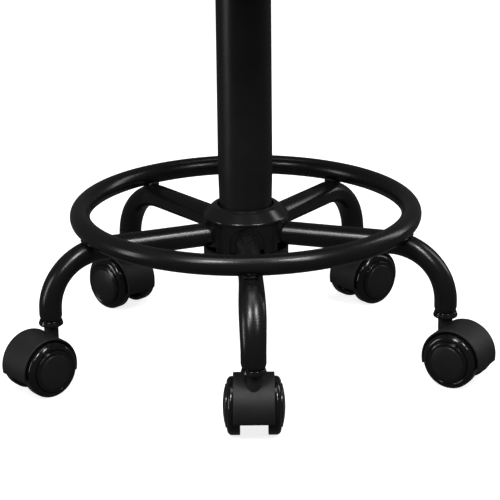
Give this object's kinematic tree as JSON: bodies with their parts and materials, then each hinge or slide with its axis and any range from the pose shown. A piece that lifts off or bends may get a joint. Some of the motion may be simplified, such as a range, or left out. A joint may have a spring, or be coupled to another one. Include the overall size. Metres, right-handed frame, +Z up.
{
  "type": "swivel stool",
  "caption": "Rolling swivel stool: round padded seat on a gas lift column, bent tube legs, a foot ring and hooded casters.",
  "frame": {"origin": "on the floor, on the column's axis, under the middle of the seat", "axes": "+Z up along the column; +X towards the height lever; -Y towards the front leg, which is turned 1.7 degrees from it"},
  "size_m": [0.4496, 0.4003, 0.507],
  "materials": {
    "powder_coat": "satin",
    "matte_plastic": "matte",
    "gloss_plastic": "gloss",
    "bright_steel": "satin",
    "rubber": "matte",
    "foam": "matte",
    "vinyl": "satin",
    "plywood": "matte"
  },
  "bodies": {
    "base": {"hub_sleeve": "powder_coat", "hub_top_cover": "matte_plastic", "hub_bottom_cover": "matte_plastic", "foot_ring": "powder_coat", "stand_tube": "powder_coat", "guide_sleeve": "matte_plastic", "lower_race": "bright_steel", "leg_front": "powder_coat", "socket_front": "gloss_plastic", "stem_front": "bright_steel", "leg_front_right": "powder_coat", "socket_front_right": "gloss_plastic", "stem_front_right": "bright_steel", "leg_back_right": "powder_coat", "socket_back_right": "gloss_plastic", "stem_back_right": "bright_steel", "leg_back_left": "powder_coat", "socket_back_left": "gloss_plastic", "stem_back_left": "bright_steel", "leg_front_left": "powder_coat", "socket_front_left": "gloss_plastic", "stem_front_left": "bright_steel"},
    "bearing": {"ball_cage": "bright_steel"},
    "column_core": {"piston_rod": "bright_steel", "upper_race": "bright_steel", "rebound_bumper": "rubber", "retaining_clip": "bright_steel"},
    "seat": {"pressure_cylinder": "bright_steel", "taper_socket": "powder_coat", "seat_plate": "powder_coat", "seat_board": "plywood", "seat_foam": "foam", "seat_cover": "vinyl", "seat_bolt_1": "bright_steel", "seat_bolt_2": "bright_steel", "seat_bolt_3": "bright_steel", "seat_bolt_4": "bright_steel"},
    "lever": {"lever_rod": "bright_steel", "lever_grip": "gloss_plastic"},
    "button": {"release_button": "bright_steel"},
    "caster_front": {"hood_front": "matte_plastic", "axle_front": "bright_steel"},
    "left_wheel_front": {"left_wheel_front": "gloss_plastic"},
    "right_wheel_front": {"right_wheel_front": "gloss_plastic"},
    "caster_front_right": {"hood_front_right": "matte_plastic", "axle_front_right": "bright_steel"},
    "left_wheel_front_right": {"left_wheel_front_right": "gloss_plastic"},
    "right_wheel_front_right": {"right_wheel_front_right": "gloss_plastic"},
    "caster_back_right": {"hood_back_right": "matte_plastic", "axle_back_right": "bright_steel"},
    "left_wheel_back_right": {"left_wheel_back_right": "gloss_plastic"},
    "right_wheel_back_right": {"right_wheel_back_right": "gloss_plastic"},
    "caster_back_left": {"hood_back_left": "matte_plastic", "axle_back_left": "bright_steel"},
    "left_wheel_back_left": {"left_wheel_back_left": "gloss_plastic"},
    "right_wheel_back_left": {"right_wheel_back_left": "gloss_plastic"},
    "caster_front_left": {"hood_front_left": "matte_plastic", "axle_front_left": "bright_steel"},
    "left_wheel_front_left": {"left_wheel_front_left": "gloss_plastic"},
    "right_wheel_front_left": {"right_wheel_front_left": "gloss_plastic"}
  },
  "joints": [
    {"name": "seat_swivel", "type": "hinge", "parent": "base", "child": "column_core", "pos_m": [0, 0, 0], "axis": [0, 0, 1], "continuous": true},
    {"name": "bearing_turn", "type": "hinge", "parent": "base", "child": "bearing", "pos_m": [0, 0, 0], "axis": [0, 0, 1], "continuous": true},
    {"name": "seat_lift", "type": "slide", "parent": "column_core", "child": "seat", "axis": [0, 0, 1], "range_m": [0, 0.13]},
    {"name": "height_lever", "type": "hinge", "parent": "seat", "child": "lever", "pos_m": [0.045, 0, 0.4222], "axis": [0, -1, 0], "range_deg": [0, 4], "stiffness_Nm_per_rad": 0.6, "springref_deg": -2.86},
    {"name": "button_press", "type": "slide", "parent": "seat", "child": "button", "axis": [0, 0, -1], "range_m": [0, 0.0032]},
    {"name": "swivel_front", "type": "hinge", "parent": "base", "child": "caster_front", "pos_m": [0.00559, -0.18842, 0], "axis": [0, 0, 1], "continuous": true},
    {"name": "left_roll_front", "type": "hinge", "parent": "caster_front", "child": "left_wheel_front", "pos_m": [0.00559, -0.17432, 0.0256], "axis": [-1, 0, 0], "continuous": true},
    {"name": "right_roll_front", "type": "hinge", "parent": "caster_front", "child": "right_wheel_front", "pos_m": [0.00559, -0.17432, 0.0256], "axis": [-1, 0, 0], "continuous": true},
    {"name": "swivel_front_right", "type": "hinge", "parent": "base", "child": "caster_front_right", "pos_m": [0.18092, -0.05291, 0], "axis": [0, 0, 1], "continuous": true},
    {"name": "left_roll_front_right", "type": "hinge", "parent": "caster_front_right", "child": "left_wheel_front_right", "pos_m": [0.19301, -0.06017, 0.0256], "axis": [0.515, 0.8572, 0], "continuous": true},
    {"name": "right_roll_front_right", "type": "hinge", "parent": "caster_front_right", "child": "right_wheel_front_right", "pos_m": [0.19301, -0.06017, 0.0256], "axis": [0.515, 0.8572, 0], "continuous": true},
    {"name": "swivel_back_right", "type": "hinge", "parent": "base", "child": "caster_back_right", "pos_m": [0.10622, 0.15572, 0], "axis": [0, 0, 1], "continuous": true},
    {"name": "left_roll_back_right", "type": "hinge", "parent": "caster_back_right", "child": "left_wheel_back_right", "pos_m": [0.11718, 0.16459, 0.0256], "axis": [-0.6293, 0.7771, 0], "continuous": true},
    {"name": "right_roll_back_right", "type": "hinge", "parent": "caster_back_right", "child": "right_wheel_back_right", "pos_m": [0.11718, 0.16459, 0.0256], "axis": [-0.6293, 0.7771, 0], "continuous": true},
    {"name": "swivel_back_left", "type": "hinge", "parent": "base", "child": "caster_back_left", "pos_m": [-0.11527, 0.14915, 0], "axis": [0, 0, 1], "continuous": true},
    {"name": "left_roll_back_left", "type": "hinge", "parent": "caster_back_left", "child": "left_wheel_back_left", "pos_m": [-0.12542, 0.15894, 0.0256], "axis": [-0.6947, -0.7193, 0], "continuous": true},
    {"name": "right_roll_back_left", "type": "hinge", "parent": "caster_back_left", "child": "right_wheel_back_left", "pos_m": [-0.12542, 0.15894, 0.0256], "axis": [-0.6947, -0.7193, 0], "continuous": true},
    {"name": "swivel_front_left", "type": "hinge", "parent": "base", "child": "caster_front_left", "pos_m": [-0.17747, -0.06354, 0], "axis": [0, 0, 1], "continuous": true},
    {"name": "left_roll_front_left", "type": "hinge", "parent": "caster_front_left", "child": "left_wheel_front_left", "pos_m": [-0.18843, -0.07242, 0.0256], "axis": [0.6293, -0.7771, 0], "continuous": true},
    {"name": "right_roll_front_left", "type": "hinge", "parent": "caster_front_left", "child": "right_wheel_front_left", "pos_m": [-0.18843, -0.07242, 0.0256], "axis": [0.6293, -0.7771, 0], "continuous": true}
  ],
  "couplings": [
    {"joint": "bearing_turn", "follows": "seat_swivel", "ratio": 0.5},
    {"joint": "button_press", "follows": "height_lever", "m_per_rad": 0.045}
  ]
}
